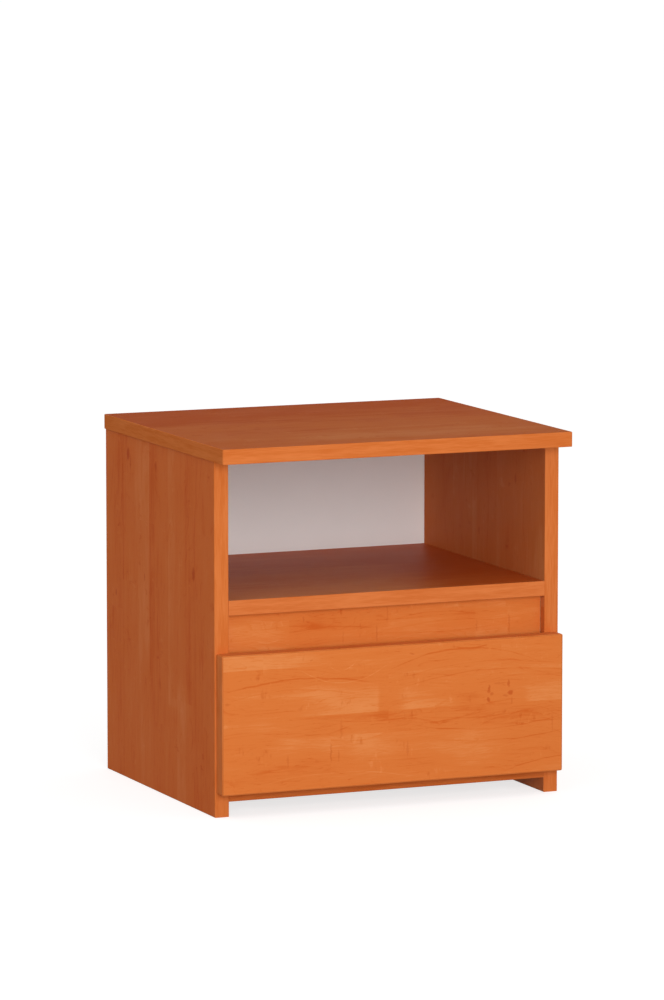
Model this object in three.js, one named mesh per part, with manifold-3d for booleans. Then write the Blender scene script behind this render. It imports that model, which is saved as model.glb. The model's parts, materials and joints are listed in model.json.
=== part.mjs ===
// A low bedside chest in laminated board: an open niche over one drawer on roller runners.
// Millimetres, +Z up, the front faces -Y. The origin is on the floor, at the middle of the footprint.
import * as THREE from "three";
import { mergeVertices } from "three/addons/utils/BufferGeometryUtils.js";
import Module from "manifold-3d";

const wasm = await Module();
wasm.setup();

// Boards and sheets
const BOARD = 16; // laminated particle board
const SHEET = 3; // white hardboard of the back and of the drawer's floor
const ARRIS = 0.5; // eased edge round each face of a board
const CORNER_RADIUS = 1.2; // corners of the boards that stand free
const CORNER_STEPS = 3;
const OVERRUN = 5; // how far a cutter runs past the face that it opens

// Carcass
const CARCASS_WIDTH = 396;
const SIDE_DEPTH = 317;
const SIDE_HEIGHT = 376;
const TOP_SIDE_OVERHANG = 2;
const TOP_FRONT_OVERHANG = 30;
const BOTTOM_LIFT = 16; // from the floor to the underside of the bottom board
const NICHE_HEIGHT = 147;
const RAIL_HEIGHT = 56;
const RAIL_RECESS = 10; // the finger gap behind the drawer front
const BACK_INSET = 2; // from the outline of the carcass to the edge of the back sheet

// Drawer
const FRONT_INSET = 2; // from the outer face of a side panel to the end of the drawer front
const FRONT_REVEAL = 9.5; // edge of the bottom board left showing under the drawer front
const GRIP_HEIGHT = 39.5; // open height over the drawer front
const FRONT_GAP = 0.5; // between the drawer front and the edges that it closes on
const DRAWER_TOP_GAP = 15; // from the drawer's sides to the rail
const DRAWER_REAR_GAP = 17; // from the drawer's sides to the back sheet
const GROOVE_LIFT = 10; // from the underside of a drawer side to the floor's groove
const GROOVE_DEPTH = 6;
const GROOVE_PLAY = 0.3; // over the floor, in its groove
const FLOOR_END_PLAY = 0.5; // from the floor's edge to the bottom of its groove

// Roller runners, measured inwards from the inner face of a side panel and up from the runner's foot
const STEEL = 1;
const RUNNER_LIFT = 8; // from the bottom board to the foot of the cabinet runner
const RUNNER_SETBACK = 2; // from the front edge of the side panel to the runner
const RUNNER_REAR_GAP = 15;
const ROLLER_RADIUS = 8;
const ROLLER_WIDTH = 6.6;
const ROLLER_END = 12; // from the end of a runner to its roller's axle
const ROLLER_OFFSET = 1.4; // from a web to the roller, for the rivet's head
const ROLL_GAP = 0.3; // between a roller and its track
const AXLE_STEP = 0.3; // the front axle is this much higher than the rear one
const LIP_HEIGHT = 3;
const LIP_GAP = 0.5;
const WEB_GAP = 1; // between the channel's lip and the drawer runner
const TOP_FLANGE = 7;
const FLANGE_GAP = 1.1; // over the drawer runner, inside the channel
const TILT_NOTCH = 40; // length at the front with no top flange, where the drawer lifts out
const DRAWER_RUNNER_HEIGHT = 18;
const SOLE = 10; // flange of the drawer runner under the drawer's side
const STOP_SPACE = 33; // left between the two rollers at full travel
const STOP_HEIGHT = 3;
const STOP_WIDTH = 4.5;
const SCREW_HOLE_RADIUS = 2.2;
const SCREW_INSET = 37; // from the end of a runner to its outer screw holes

// Rollers and the rivets that they turn on
const RIVET_RADIUS = 2;
const RIVET_PLAY = 0.3;
const RIVET_HEAD_RADIUS = 3.2;
const RIVET_HEAD = 0.7;
const ROLLER_HUB_RADIUS = 4;
const ROLLER_RIM = 1.6;
const ROLLER_DISH = 1.2; // depth of the recess between hub and rim
const ROLLER_ROUND = 0.5;
const ROLLER_SIDES = 28;

// Cam fittings: a cam in one board draws in the bolt that is screwed into the other
const CAM_RADIUS = 7.5;
const CAM_DEPTH = 12.5;
const CAM_SINK = 0.2; // below the face of the board
const CAM_CROSS_LENGTH = 9;
const CAM_CROSS_WIDTH = 1.8;
const CAM_CROSS_DEPTH = 2;
const CAM_MOUTH_PLAY = 0.5; // round the bolt, where it enters the cam
const CAM_MOUTH_PAST_CENTRE = 3.2;
const CAM_REACH = 34; // from the joint to the cam's axis
const TOP_CAM_REACH = 24;
const BOLT_HEAD_RADIUS = 3.2;
const BOLT_HEAD = 4;
const BOLT_NECK_RADIUS = 2;
const BOLT_NECK = 3;
const BOLT_SHANK_RADIUS = 3.4;
const BOLT_THREAD_RADIUS = 2.6;
const BOLT_THREAD = 11;
const BOLT_TIP = 1.4;
const DRILL_PLAY = 0.3; // round and behind every fitting
const FITTING_SIDES = 10;
const CAM_SIDES = 18;

// Dowels and the screws of the drawer's back
const DOWEL_RADIUS = 4;
const DOWEL_LENGTH = 30;
const DOWEL_CHAMFER = 1;
const DOWEL_IN_FACE = 11; // length in the board whose face is drilled
const SCREW_HEAD_RADIUS = 4.6;
const SCREW_HEAD_LENGTH = 4;
const SCREW_SHANK_RADIUS = 3.4;
const SCREW_THREAD_RADIUS = 2.7;
const SCREW_LENGTH = 50;
const SCREW_TIP = 3;
const SCREW_SINK = 0.3;
const SCREW_SOCKET_RADIUS = 2.3;
const SCREW_SOCKET_DEPTH = 3;

// Places of the fittings along the boards
const CAM_INSET = 37; // from the front and rear edges of the side panels
const TOP_REAR_CAM_INSET = 32; // from the rear edges, out of sight over the niche
const TOP_MIDDLE_CAM_INSET = 112;
const TOP_DOWEL_INSET = 50;
const RAIL_DOWEL_INSET = 15; // from the rail's upper and lower edges
const DRAWER_CAM_SHARE = 0.6; // of the height inside the drawer, as the next two
const DRAWER_DOWEL_SHARE = 0.2;
const DRAWER_SCREW_SHARES = [["lower", 0.25], ["upper", 0.75]];

// Worked out from the values above, with y = 0 at the front edges of the side panels
const INNER_WIDTH = CARCASS_WIDTH - 2 * BOARD;
const SIDE_MIDDLE = CARCASS_WIDTH / 2 - BOARD / 2;
const BOTTOM_TOP = BOTTOM_LIFT + BOARD;
const SHELF_TOP = SIDE_HEIGHT - NICHE_HEIGHT;
const SHELF_UNDERSIDE = SHELF_TOP - BOARD;
const RAIL_UNDERSIDE = SHELF_UNDERSIDE - RAIL_HEIGHT;
const FOOTPRINT_DEPTH = TOP_FRONT_OVERHANG + SIDE_DEPTH + SHEET;
const FRONT_LOW = BOTTOM_LIFT + FRONT_REVEAL;
const FRONT_HIGH = SHELF_UNDERSIDE - GRIP_HEIGHT;

const ROLLER_INNER = STEEL + ROLLER_OFFSET; // the roller's face next to the cabinet's web
const ROLLER_OUTER = ROLLER_INNER + ROLLER_WIDTH;
const CHANNEL_DEPTH = ROLLER_OUTER + LIP_GAP + STEEL;
const RUNNER_SPACE = CHANNEL_DEPTH + WEB_GAP + STEEL; // from the side panel to the drawer's side
const REAR_AXLE_HEIGHT = STEEL + ROLL_GAP + ROLLER_RADIUS;
const FRONT_AXLE_HEIGHT = REAR_AXLE_HEIGHT + AXLE_STEP;
const TRACK_UNDERSIDE = FRONT_AXLE_HEIGHT + ROLLER_RADIUS + ROLL_GAP;
const SOLE_LOW = TRACK_UNDERSIDE + STEEL - DRAWER_RUNNER_HEIGHT;
const CHANNEL_HEIGHT = TRACK_UNDERSIDE + STEEL + FLANGE_GAP + STEEL;
const RUNNER_FOOT = BOTTOM_TOP + RUNNER_LIFT;
const RUNNER_LENGTH = SIDE_DEPTH - RUNNER_SETBACK - RUNNER_REAR_GAP;

const DRAWER_LOW = RUNNER_FOOT + SOLE_LOW + STEEL;
const DRAWER_SIDE_HEIGHT = RAIL_UNDERSIDE - DRAWER_TOP_GAP - DRAWER_LOW;
const DRAWER_LENGTH = SIDE_DEPTH - DRAWER_REAR_GAP + FRONT_GAP;
const DRAWER_WIDTH = INNER_WIDTH - 2 * RUNNER_SPACE;
const DRAWER_INNER = DRAWER_WIDTH - 2 * BOARD;
const FLOOR_TOP = DRAWER_LOW + GROOVE_LIFT + SHEET;
const DRAWER_INNER_HEIGHT = DRAWER_LOW + DRAWER_SIDE_HEIGHT - FLOOR_TOP;
const FRONT_WIDTH = CARCASS_WIDTH - 2 * FRONT_INSET;
const DRAWER_RUNNER_START = RUNNER_SETBACK + FRONT_GAP;
const REAR_AXLE_DEPTH = DRAWER_LENGTH - ROLLER_END; // from the back of the drawer front
const FRONT_AXLE_DEPTH = RUNNER_SETBACK + ROLLER_END; // from the front edge of the side panel
const TRAVEL = REAR_AXLE_DEPTH - FRONT_GAP - FRONT_AXLE_DEPTH - 2 * ROLLER_RADIUS - STOP_SPACE;

const LAMINATE = new THREE.MeshStandardMaterial({ color: 0xd6783a, roughness: 0.42, metalness: 0 });
const HARDBOARD = new THREE.MeshStandardMaterial({ color: 0xf0eeea, roughness: 0.5, metalness: 0 });
const COATED_STEEL = new THREE.MeshStandardMaterial({ color: 0xe8e5dc, roughness: 0.45, metalness: 0 });
const NYLON = new THREE.MeshStandardMaterial({ color: 0xf4f3ee, roughness: 0.4, metalness: 0 });
const ZINC = new THREE.MeshStandardMaterial({ color: 0xb9bcbf, roughness: 0.35, metalness: 1 });
const BEECH = new THREE.MeshStandardMaterial({ color: 0xd9b98c, roughness: 0.7, metalness: 0 });

function piece(name, geometry, material) {
  const mesh = new THREE.Mesh(geometry, material);
  mesh.name = name;
  return mesh;
}

function groupAt(x, y, z) {
  const group = new THREE.Group();
  group.position.set(x, y, z);
  return group;
}

// A group whose +X runs along one direction and whose +Z points out along another.
function frameAt(origin, along, out) {
  const x = new THREE.Vector3(...along);
  const z = new THREE.Vector3(...out);
  const group = groupAt(...origin);
  group.setRotationFromMatrix(new THREE.Matrix4().makeBasis(x, z.clone().cross(x), z));
  return group;
}

// Booleans

function flipFaces(indices) {
  for (let i = 0; i < indices.length; i += 3) {
    [indices[i + 1], indices[i + 2]] = [indices[i + 2], indices[i + 1]];
  }
}

function solidOf(mesh) {
  mesh.updateWorldMatrix(true, false);
  const source = mesh.geometry.index ? mesh.geometry.toNonIndexed() : mesh.geometry;
  const bare = new THREE.BufferGeometry();
  bare.setAttribute("position", source.getAttribute("position").clone());
  bare.applyMatrix4(mesh.matrixWorld);
  const merged = mergeVertices(bare);
  const triVerts = new Uint32Array(merged.index.array);
  if (mesh.matrixWorld.determinant() < 0) flipFaces(triVerts);
  const vertProperties = merged.attributes.position.array;
  return new wasm.Manifold(new wasm.Mesh({ numProp: 3, vertProperties, triVerts }));
}

// Puts a solid back as the mesh's own geometry, in the mesh's frame.
function reshape(mesh, solid) {
  const { vertProperties, triVerts } = solid.getMesh();
  const geometry = new THREE.BufferGeometry();
  geometry.setAttribute("position", new THREE.BufferAttribute(vertProperties, 3));
  const back = mesh.matrixWorld.clone().invert();
  if (back.determinant() < 0) flipFaces(triVerts);
  geometry.setIndex(new THREE.BufferAttribute(triVerts, 1));
  geometry.applyMatrix4(back);
  mesh.geometry = geometry.toNonIndexed();
  mesh.geometry.computeVertexNormals();
}

function carve(mesh, cutters) {
  const cut = cutters.reduce((solid, cutter) => solid.subtract(solidOf(cutter)), solidOf(mesh));
  reshape(mesh, cut);
}

function fuse(mesh, others) {
  const joined = others.reduce((solid, other) => solid.add(solidOf(other)), solidOf(mesh));
  reshape(mesh, joined);
}

// Plain shapes

function box(width, depth, height) {
  return new THREE.BoxGeometry(width, depth, height);
}

function boxBetween(low, high) {
  const size = high.map((value, axis) => value - low[axis]);
  const mesh = new THREE.Mesh(box(...size));
  mesh.position.set(...low.map((value, axis) => value + size[axis] / 2));
  return mesh;
}

// A turned solid round +X from [radius, place] pairs in order along X.
function turned(profile, sides) {
  const points = profile.map(([radius, place]) => new THREE.Vector2(radius, place));
  const geometry = new THREE.LatheGeometry(points, sides);
  return geometry.rotateZ(-Math.PI / 2);
}

function rod(radius, from, to, sides) {
  return turned([[0, from], [radius, from], [radius, to], [0, to]], sides);
}

function outlineOf(width, height, radius) {
  const w = width / 2;
  const h = height / 2;
  const outline = new THREE.Shape();
  if (radius === 0) {
    outline.moveTo(-w, -h).lineTo(w, -h).lineTo(w, h).lineTo(-w, h);
    return outline;
  }
  outline.moveTo(radius - w, -h);
  outline.lineTo(w - radius, -h).absarc(w - radius, radius - h, radius, -Math.PI / 2, 0);
  outline.lineTo(w, h - radius).absarc(w - radius, h - radius, radius, 0, Math.PI / 2);
  outline.lineTo(radius - w, h).absarc(radius - w, h - radius, radius, Math.PI / 2, Math.PI);
  outline.lineTo(-w, radius - h).absarc(radius - w, radius - h, radius, Math.PI, Math.PI * 1.5);
  return outline;
}

// A board lying in the XY plane, centred, with its faces' edges eased.
function boardGeometry(width, height, cornerRadius) {
  const outline = outlineOf(width - 2 * ARRIS, height - 2 * ARRIS, cornerRadius);
  const geometry = new THREE.ExtrudeGeometry(outline, {
    depth: BOARD - 2 * ARRIS,
    curveSegments: CORNER_STEPS,
    bevelThickness: ARRIS,
    bevelSize: ARRIS,
    bevelSegments: 1,
  });
  return geometry.translate(0, 0, ARRIS - BOARD / 2);
}

function flatBoard(name, width, depth, cornerRadius = 0) {
  return piece(name, boardGeometry(width, depth, cornerRadius), LAMINATE);
}

// A board standing with its faces to the left and right.
function sideBoard(name, depth, height, cornerRadius = 0) {
  const geometry = boardGeometry(height, depth, cornerRadius).rotateY(-Math.PI / 2);
  return piece(name, geometry, LAMINATE);
}

// A board standing with its faces to the front and rear.
function frontBoard(name, width, height, cornerRadius = 0) {
  const geometry = boardGeometry(width, height, cornerRadius).rotateX(Math.PI / 2);
  return piece(name, geometry, LAMINATE);
}

// Fittings. Each adds its pieces to a group and cuts the holes for them in the two boards that it joins.

function camGeometry() {
  const body = new THREE.CylinderGeometry(CAM_RADIUS, CAM_RADIUS, CAM_DEPTH, CAM_SIDES);
  body.rotateX(Math.PI / 2).translate(0, 0, BOARD / 2 - CAM_SINK - CAM_DEPTH / 2);
  const cam = new THREE.Mesh(body);
  const mouthRadius = BOLT_SHANK_RADIUS + CAM_MOUTH_PLAY;
  const mouth = new THREE.Mesh(
    rod(mouthRadius, -CAM_MOUTH_PAST_CENTRE, CAM_RADIUS + OVERRUN, FITTING_SIDES),
  );
  const crossTop = BOARD / 2 + OVERRUN;
  const crossFloor = BOARD / 2 - CAM_SINK - CAM_CROSS_DEPTH;
  const long = CAM_CROSS_LENGTH / 2;
  const thin = CAM_CROSS_WIDTH / 2;
  const cross = [
    boxBetween([-long, -thin, crossFloor], [long, thin, crossTop]),
    boxBetween([-thin, -long, crossFloor], [thin, long, crossTop]),
  ];
  carve(cam, [mouth, ...cross]);
  return cam.geometry;
}

function boltProfile(reach) {
  const headStart = -reach - BOLT_HEAD / 2;
  const headEnd = headStart + BOLT_HEAD;
  const neckEnd = headEnd + BOLT_NECK;
  return [
    [0, headStart],
    [BOLT_NECK_RADIUS, headStart],
    [BOLT_HEAD_RADIUS, headStart + BOLT_HEAD / 4],
    [BOLT_HEAD_RADIUS, headEnd - BOLT_HEAD / 4],
    [BOLT_NECK_RADIUS, headEnd],
    [BOLT_NECK_RADIUS, neckEnd],
    [BOLT_SHANK_RADIUS, neckEnd],
    [BOLT_SHANK_RADIUS, 0],
    [BOLT_THREAD_RADIUS, 0],
    [BOLT_THREAD_RADIUS, BOLT_THREAD - BOLT_TIP],
    [0, BOLT_THREAD],
  ];
}

const CAM_SHAPE = camGeometry();

// The cutters lie in the same frame as the fitting, and every board is cut where it stands.
function bore(board, origin, along, out, ...geometries) {
  const frame = frameAt(origin, along, out);
  const cutters = geometries.map((geometry) => new THREE.Mesh(geometry));
  frame.add(...cutters);
  carve(board, cutters);
}

// The frame's origin is on the joint, +X runs into the board that takes the bolt, and +Z comes out of
// the face that takes the cam.
function camFitting(group, name, camBoard, boltBoard, origin, along, out, reach = CAM_REACH) {
  const frame = frameAt(origin, along, out);
  const cam = piece(`${name}_cam`, CAM_SHAPE, ZINC);
  cam.position.x = -reach;
  const bolt = piece(`${name}_bolt`, turned(boltProfile(reach), FITTING_SIDES), ZINC);
  frame.add(cam, bolt);
  group.add(frame);

  const radius = CAM_RADIUS + DRILL_PLAY;
  const depth = CAM_SINK + CAM_DEPTH + DRILL_PLAY;
  const camBore = new THREE.CylinderGeometry(radius, radius, depth + OVERRUN, CAM_SIDES);
  camBore.rotateX(Math.PI / 2).translate(-reach, 0, BOARD / 2 + (OVERRUN - depth) / 2);
  const boltEnd = -reach - BOLT_HEAD / 2 - DRILL_PLAY;
  const shankBore = rod(BOLT_SHANK_RADIUS + DRILL_PLAY, boltEnd, OVERRUN, FITTING_SIDES);
  bore(camBoard, origin, along, out, camBore, shankBore);
  const pilot = rod(BOLT_THREAD_RADIUS + DRILL_PLAY, -OVERRUN, BOLT_THREAD + DRILL_PLAY, FITTING_SIDES);
  bore(boltBoard, origin, along, out, pilot);
}

// The frame's origin is on the joint and +X runs into the face that is drilled.
function dowelFitting(group, name, endBoard, faceBoard, origin, along, out) {
  const start = DOWEL_IN_FACE - DOWEL_LENGTH;
  const profile = [
    [0, start],
    [DOWEL_RADIUS - DOWEL_CHAMFER, start],
    [DOWEL_RADIUS, start + DOWEL_CHAMFER],
    [DOWEL_RADIUS, DOWEL_IN_FACE - DOWEL_CHAMFER],
    [DOWEL_RADIUS - DOWEL_CHAMFER, DOWEL_IN_FACE],
    [0, DOWEL_IN_FACE],
  ];
  const frame = frameAt(origin, along, out);
  frame.add(piece(`${name}_dowel`, turned(profile, FITTING_SIDES), BEECH));
  group.add(frame);

  const radius = DOWEL_RADIUS + DRILL_PLAY;
  const hole = rod(radius, start - DRILL_PLAY, DOWEL_IN_FACE + DRILL_PLAY, FITTING_SIDES);
  bore(endBoard, origin, along, out, hole);
  bore(faceBoard, origin, along, out, hole);
}

// A one-piece connecting screw. The frame's origin is on the outer face and +X runs into the boards.
function screwFitting(group, name, faceBoard, endBoard, origin, along, out) {
  const tip = SCREW_SINK + SCREW_LENGTH;
  const profile = [
    [0, SCREW_SINK],
    [SCREW_HEAD_RADIUS, SCREW_SINK],
    [SCREW_SHANK_RADIUS, SCREW_SINK + SCREW_HEAD_LENGTH],
    [SCREW_SHANK_RADIUS, BOARD],
    [SCREW_THREAD_RADIUS, BOARD],
    [SCREW_THREAD_RADIUS, tip - SCREW_TIP],
    [0, tip],
  ];
  const frame = frameAt(origin, along, out);
  const screw = piece(`${name}_screw`, turned(profile, FITTING_SIDES), ZINC);
  frame.add(screw);
  group.add(frame);
  const socket = rod(SCREW_SOCKET_RADIUS, SCREW_SINK - OVERRUN, SCREW_SINK + SCREW_SOCKET_DEPTH, 6);
  bore(screw, origin, along, out, socket);

  const headRadius = SCREW_HEAD_RADIUS + DRILL_PLAY;
  const shankRadius = SCREW_SHANK_RADIUS + DRILL_PLAY;
  const sunk = turned([
    [0, -OVERRUN],
    [headRadius, -OVERRUN],
    [headRadius, SCREW_SINK],
    [shankRadius, SCREW_SINK + SCREW_HEAD_LENGTH],
    [shankRadius, BOARD + OVERRUN],
    [0, BOARD + OVERRUN],
  ], FITTING_SIDES);
  bore(faceBoard, origin, along, out, sunk);
  const pilot = rod(SCREW_THREAD_RADIUS + DRILL_PLAY, BOARD - OVERRUN, tip + DRILL_PLAY, FITTING_SIDES);
  bore(endBoard, origin, along, out, pilot);
}

// Runners. Their profiles are drawn for the right-hand side, with x inwards from the side panel and z
// up from the runner's foot, and run along y. A mirrored group turns them to their side.

function profileGeometry(points, start, length) {
  const outline = new THREE.Shape(points.map(([x, z]) => new THREE.Vector2(x, z)));
  const geometry = new THREE.ExtrudeGeometry(outline, { depth: length, bevelEnabled: false });
  return geometry.rotateX(Math.PI / 2).translate(0, start + length, 0);
}

// A rivet along x from a web's face: a shoulder, the axle and a head on the far side of the roller.
function rivetMesh(webFace, direction, shoulder, depth, height) {
  const headStart = shoulder + ROLLER_WIDTH + 2 * ROLL_GAP;
  const profile = [
    [0, -STEEL / 2],
    [RIVET_HEAD_RADIUS, -STEEL / 2],
    [RIVET_HEAD_RADIUS, shoulder],
    [RIVET_RADIUS, shoulder],
    [RIVET_RADIUS, headStart],
    [RIVET_HEAD_RADIUS, headStart],
    [RIVET_HEAD_RADIUS, headStart + RIVET_HEAD],
    [0, headStart + RIVET_HEAD],
  ];
  const rivet = new THREE.Mesh(turned(profile, FITTING_SIDES));
  rivet.position.set(webFace, depth, height);
  if (direction < 0) rivet.rotation.z = Math.PI;
  return rivet;
}

function screwHoles(webFace, start, length, height) {
  const places = [start + SCREW_INSET, start + length / 2, start + length - SCREW_INSET];
  return places.map((place) => {
    const hole = new THREE.Mesh(rod(SCREW_HOLE_RADIUS, -OVERRUN, OVERRUN, FITTING_SIDES));
    hole.position.set(webFace, place, height);
    return hole;
  });
}

function cabinetRunner(name) {
  const lipFoot = CHANNEL_DEPTH - STEEL;
  const flangeLow = CHANNEL_HEIGHT - STEEL;
  const profile = [
    [0, 0],
    [CHANNEL_DEPTH, 0],
    [CHANNEL_DEPTH, LIP_HEIGHT],
    [lipFoot, LIP_HEIGHT],
    [lipFoot, STEEL],
    [STEEL, STEEL],
    [STEEL, flangeLow],
    [TOP_FLANGE, flangeLow],
    [TOP_FLANGE, CHANNEL_HEIGHT],
    [0, CHANNEL_HEIGHT],
  ];
  const runner = piece(name, profileGeometry(profile, RUNNER_SETBACK, RUNNER_LENGTH), COATED_STEEL);
  const reach = Math.sqrt(ROLLER_RADIUS ** 2 - (REAR_AXLE_HEIGHT - STEEL - STOP_HEIGHT) ** 2);
  const stopFace = REAR_AXLE_DEPTH - FRONT_GAP - TRAVEL - reach - ROLL_GAP;
  const stopMiddle = ROLLER_INNER + ROLLER_WIDTH / 2;
  const stop = boxBetween(
    [stopMiddle - STOP_WIDTH / 2, stopFace - STEEL, STEEL / 2],
    [stopMiddle + STOP_WIDTH / 2, stopFace, STEEL + STOP_HEIGHT],
  );
  const shoulder = ROLLER_OFFSET - ROLL_GAP;
  fuse(runner, [stop, rivetMesh(STEEL, 1, shoulder, FRONT_AXLE_DEPTH, FRONT_AXLE_HEIGHT)]);
  const notchEnd = RUNNER_SETBACK + TILT_NOTCH;
  const notch = boxBetween(
    [STEEL, RUNNER_SETBACK - OVERRUN, CHANNEL_HEIGHT - STEEL - FLANGE_GAP / 2],
    [TOP_FLANGE + OVERRUN, notchEnd, CHANNEL_HEIGHT + OVERRUN],
  );
  carve(runner, [notch, ...screwHoles(STEEL, RUNNER_SETBACK, RUNNER_LENGTH, CHANNEL_HEIGHT / 2)]);
  return runner;
}

// Drawn in the drawer's frame: y = 0 is the back of the drawer front.
function drawerRunner(name) {
  const webInner = RUNNER_SPACE - STEEL;
  const trackHigh = TRACK_UNDERSIDE + STEEL;
  const profile = [
    [ROLLER_INNER, TRACK_UNDERSIDE],
    [webInner, TRACK_UNDERSIDE],
    [webInner, SOLE_LOW],
    [RUNNER_SPACE + SOLE, SOLE_LOW],
    [RUNNER_SPACE + SOLE, SOLE_LOW + STEEL],
    [RUNNER_SPACE, SOLE_LOW + STEEL],
    [RUNNER_SPACE, trackHigh],
    [ROLLER_INNER, trackHigh],
  ];
  const length = DRAWER_LENGTH - DRAWER_RUNNER_START;
  const runner = piece(name, profileGeometry(profile, DRAWER_RUNNER_START, length), COATED_STEEL);
  const shoulder = webInner - ROLLER_OUTER - ROLL_GAP;
  fuse(runner, [rivetMesh(webInner, -1, shoulder, REAR_AXLE_DEPTH, REAR_AXLE_HEIGHT)]);
  carve(runner, screwHoles(RUNNER_SPACE, DRAWER_RUNNER_START, length, TRACK_UNDERSIDE / 2));
  return runner;
}

function rollerGeometry() {
  const bore = RIVET_RADIUS + RIVET_PLAY;
  const rim = ROLLER_RADIUS - ROLLER_RIM;
  const profile = [
    [bore, 0],
    [ROLLER_HUB_RADIUS, 0],
    [ROLLER_HUB_RADIUS, ROLLER_DISH],
    [rim, ROLLER_DISH],
    [rim, 0],
    [ROLLER_RADIUS - ROLLER_ROUND, 0],
    [ROLLER_RADIUS, ROLLER_ROUND],
    [ROLLER_RADIUS, ROLLER_WIDTH - ROLLER_ROUND],
    [ROLLER_RADIUS - ROLLER_ROUND, ROLLER_WIDTH],
    [bore, ROLLER_WIDTH],
    [bore, 0],
  ];
  return turned(profile, ROLLER_SIDES);
}

function roller(name, depth, height) {
  const mesh = piece(name, rollerGeometry(), NYLON);
  mesh.position.set(ROLLER_INNER, depth, height);
  return mesh;
}

// x = 0 on the inner face of one side panel, and x inwards.
function runnerFrame(side, z) {
  const group = groupAt((side * INNER_WIDTH) / 2, 0, z);
  group.scale.x = -side;
  return group;
}

// Assembly

const HANDS = [["left", -1], ["right", 1]];

// Where the right and left halves differ only by their side, a piece is made for each hand.
function carcassBoards() {
  const middle = SIDE_DEPTH / 2;
  const topDepth = TOP_FRONT_OVERHANG + SIDE_DEPTH;
  const top = flatBoard("top_panel", CARCASS_WIDTH + 2 * TOP_SIDE_OVERHANG, topDepth, CORNER_RADIUS);
  top.position.set(0, topDepth / 2 - TOP_FRONT_OVERHANG, SIDE_HEIGHT + BOARD / 2);
  const shelf = flatBoard("shelf_panel", INNER_WIDTH, SIDE_DEPTH);
  shelf.position.set(0, middle, SHELF_TOP - BOARD / 2);
  const bottom = flatBoard("bottom_panel", INNER_WIDTH, SIDE_DEPTH);
  bottom.position.set(0, middle, BOTTOM_LIFT + BOARD / 2);
  const rail = frontBoard("front_rail", INNER_WIDTH, RAIL_HEIGHT);
  rail.position.set(0, RAIL_RECESS + BOARD / 2, SHELF_UNDERSIDE - RAIL_HEIGHT / 2);
  const sides = HANDS.map(([hand, side]) => {
    const panel = sideBoard(`${hand}_side_panel`, SIDE_DEPTH, SIDE_HEIGHT);
    panel.position.set(side * SIDE_MIDDLE, middle, SIDE_HEIGHT / 2);
    return panel;
  });
  return { top, shelf, bottom, rail, sides };
}

function buildCarcass() {
  const carcass = new THREE.Group();
  const { top, shelf, bottom, rail, sides } = carcassBoards();
  carcass.add(top, shelf, bottom, rail, ...sides);

  HANDS.forEach(([hand, side], index) => {
    const panel = sides[index];
    const joint = (side * INNER_WIDTH) / 2;
    const outwards = [side, 0, 0];
    const inwards = [-side, 0, 0];
    for (const [place, depth] of [["front", CAM_INSET], ["rear", SIDE_DEPTH - CAM_INSET]]) {
      for (const [level, board] of [["shelf", shelf], ["bottom", bottom]]) {
        const origin = [joint, depth, board.position.z];
        camFitting(carcass, `${hand}_${place}_${level}`, board, panel, origin, outwards, [0, 0, -1]);
      }
    }
    for (const [place, inset] of [["middle", TOP_MIDDLE_CAM_INSET], ["rear", TOP_REAR_CAM_INSET]]) {
      const origin = [side * SIDE_MIDDLE, SIDE_DEPTH - inset, SIDE_HEIGHT];
      camFitting(carcass, `${hand}_${place}_top`, panel, top, origin, [0, 0, 1], inwards, TOP_CAM_REACH);
    }
    const overSide = [side * SIDE_MIDDLE, TOP_DOWEL_INSET, SIDE_HEIGHT];
    dowelFitting(carcass, `${hand}_top`, panel, top, overSide, [0, 0, 1], inwards);
    const railHigh = SHELF_UNDERSIDE - RAIL_DOWEL_INSET;
    const railLow = RAIL_UNDERSIDE + RAIL_DOWEL_INSET;
    for (const [level, height] of [["upper", railHigh], ["lower", railLow]]) {
      const origin = [joint, rail.position.y, height];
      dowelFitting(carcass, `${hand}_${level}_rail`, rail, panel, origin, outwards, [0, 0, 1]);
    }

    const frame = runnerFrame(side, RUNNER_FOOT);
    frame.add(cabinetRunner(`${hand}_cabinet_runner`));
    frame.add(roller(`${hand}_cabinet_roller`, FRONT_AXLE_DEPTH, FRONT_AXLE_HEIGHT));
    carcass.add(frame);
  });

  const backWidth = CARCASS_WIDTH - 2 * BACK_INSET;
  const backLow = BOTTOM_LIFT + BACK_INSET;
  const backHeight = SIDE_HEIGHT + BOARD - BACK_INSET - backLow;
  const back = piece("back_sheet", box(backWidth, SHEET, backHeight), HARDBOARD);
  back.position.set(0, SIDE_DEPTH + SHEET / 2, backLow + backHeight / 2);
  carcass.add(back);
  return carcass;
}

function drawerBoards() {
  const front = frontBoard("drawer_front", FRONT_WIDTH, FRONT_HIGH - FRONT_LOW, CORNER_RADIUS);
  front.position.set(0, -BOARD / 2, (FRONT_LOW + FRONT_HIGH) / 2);
  const back = frontBoard("drawer_back", DRAWER_INNER, DRAWER_INNER_HEIGHT);
  back.position.set(0, DRAWER_LENGTH - BOARD / 2, FLOOR_TOP + DRAWER_INNER_HEIGHT / 2);
  const sides = HANDS.map(([hand, side]) => {
    const panel = sideBoard(`drawer_${hand}_side`, DRAWER_LENGTH, DRAWER_SIDE_HEIGHT);
    const middle = side * (DRAWER_WIDTH / 2 - BOARD / 2);
    panel.position.set(middle, DRAWER_LENGTH / 2, DRAWER_LOW + DRAWER_SIDE_HEIGHT / 2);
    return panel;
  });
  return { front, back, sides };
}

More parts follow.
